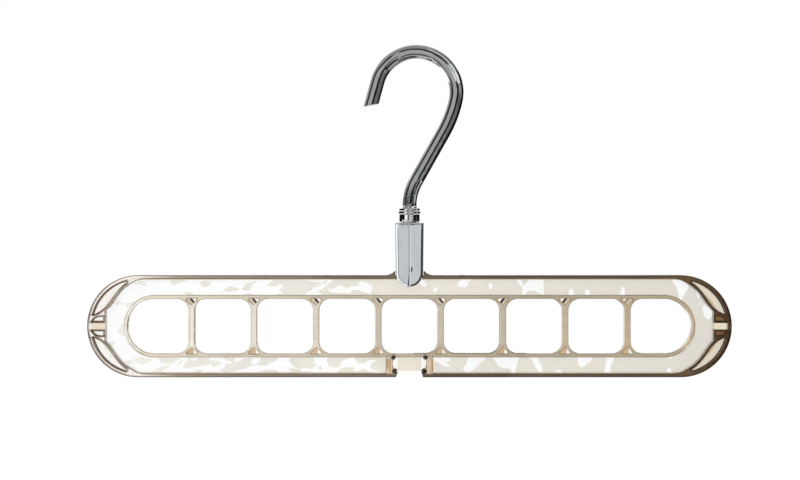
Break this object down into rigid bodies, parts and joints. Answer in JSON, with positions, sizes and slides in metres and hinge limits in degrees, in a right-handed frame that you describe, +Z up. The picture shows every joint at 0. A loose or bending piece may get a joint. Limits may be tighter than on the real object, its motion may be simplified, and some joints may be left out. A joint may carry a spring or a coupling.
{
  "type": "space-saving garment hanger",
  "caption": "Clear slotted bar hanger with a row of openings that garment hangers hook into, on a bright swivelling hook that hangs from a wardrobe rail.",
  "frame": {"origin": "on the swivel axis, at the inside of the hook's crown, where a rail carries the hanger", "axes": "+Z up along the swivel axis, +X along the row of holes to the right as pictured, and the front, as pictured, faces -Y"},
  "size_m": [0.36, 0.0136, 0.186],
  "materials": {
    "clear_plastic": "gloss",
    "bright_plate": "polished"
  },
  "bodies": {
    "hook": {"hook": "bright_plate", "shoulder_ring": "bright_plate", "retaining_washer": "bright_plate"},
    "frame": {"hanger_frame": "clear_plastic", "neck_sheath": "bright_plate", "swivel_bush": "bright_plate", "thrust_washer": "bright_plate"}
  },
  "joints": [
    {"name": "hook_swivel", "type": "hinge", "parent": "hook", "child": "frame", "pos_m": [0, 0, -0.08652], "axis": [0, 0, 1], "continuous": true}
  ]
}
